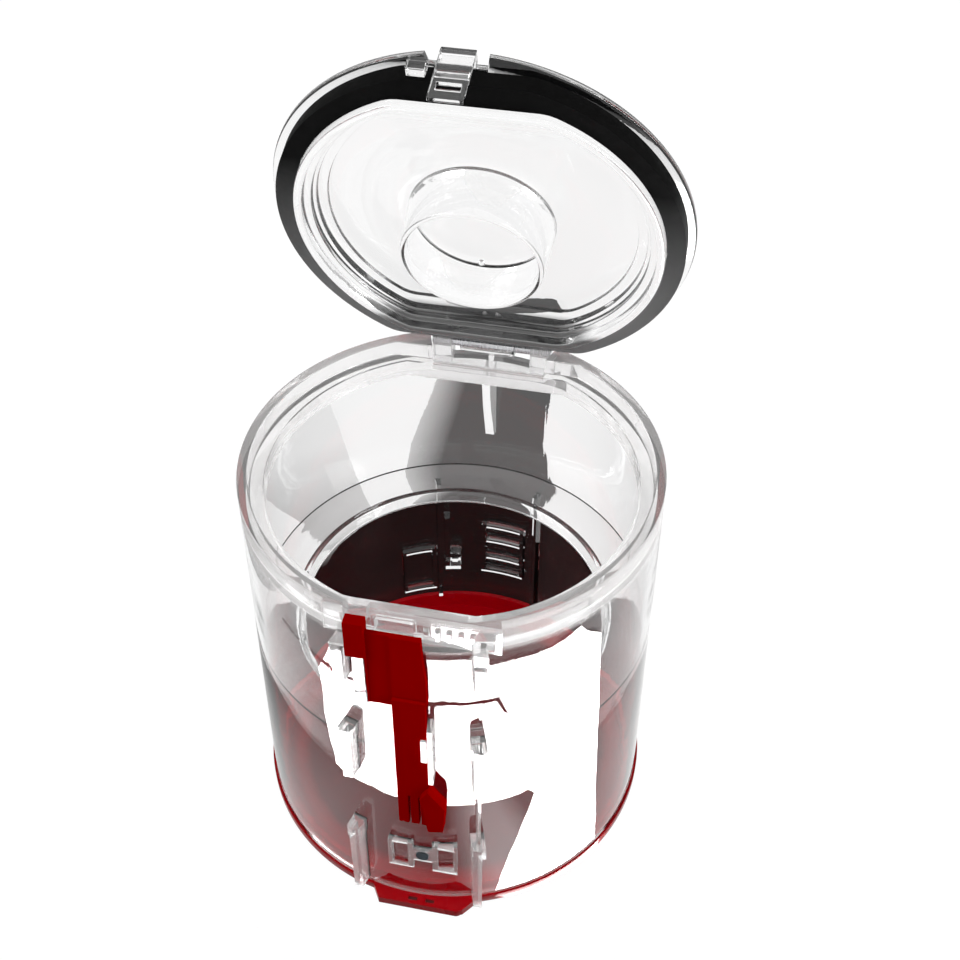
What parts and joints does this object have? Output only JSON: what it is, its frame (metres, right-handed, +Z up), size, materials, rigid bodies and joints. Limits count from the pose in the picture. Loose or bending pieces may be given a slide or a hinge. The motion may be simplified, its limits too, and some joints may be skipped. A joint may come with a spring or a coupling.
{
  "type": "handheld vacuum dust bin",
  "caption": "Clear cylindrical vacuum dust bin standing on its red end cap, with a hinged lid swung open, black lid seal and a red release latch.",
  "frame": {"origin": "centre of the flat base plane under the red end cap", "axes": "+Z up from the base to the mouth, -Y towards the latch, +Y towards the lid hinge, +X to the viewer's right when facing the latch"},
  "size_m": [0.126, 0.129, 0.2415],
  "materials": {
    "clear_bin": "clear moulded plastic, polished",
    "clear_lid": "clear moulded plastic, polished",
    "red_plastic": "glossy",
    "latch_red": "satin gloss",
    "seal_rubber": "soft matte",
    "pin_steel": "ground",
    "insert_dark": "satin"
  },
  "bodies": {
    "bin": {"bin_wall": "clear_bin", "mouth_ring": "clear_bin", "slot_frame": "clear_bin", "pad_teeth": "clear_bin", "hinge_lugs": "clear_bin", "hinge_gusset": "clear_bin", "upper_guides": "clear_bin", "middle_guides": "clear_bin", "lower_guides": "clear_bin", "baffle_ring": "clear_bin", "rear_rails": "clear_bin", "rear_frames": "clear_bin", "rear_hook": "clear_bin", "foot_clip": "clear_bin", "latch_keeper": "clear_bin", "base_cap": "red_plastic", "hinge_pin": "pin_steel", "clip_insert": "insert_dark"},
    "latch": {"latch_slide": "latch_red"},
    "lid": {"lid_panel": "clear_lid", "lid_plug_ring": "clear_lid", "lid_plug_tube": "clear_lid", "lid_seal": "seal_rubber", "lid_post": "clear_lid", "lid_knuckle": "clear_lid"},
    "hook": {"lid_hook": "clear_lid"}
  },
  "joints": [
    {"name": "lid_hinge", "type": "hinge", "parent": "bin", "child": "lid", "pos_m": [0, 0.055, 0.131], "axis": [-1, 0, 0], "range_deg": [-73.6, 28]},
    {"name": "latch_travel", "type": "slide", "parent": "bin", "child": "latch", "axis": [0, 0, 1], "range_m": [0, 0.003]},
    {"name": "hook_flex", "type": "hinge", "parent": "lid", "child": "hook", "pos_m": [-0.0028, 0.02609, 0.23737], "axis": [-1, 0, 0], "range_deg": [0, 5.2], "stiffness_Nm_per_rad": 0.4}
  ]
}
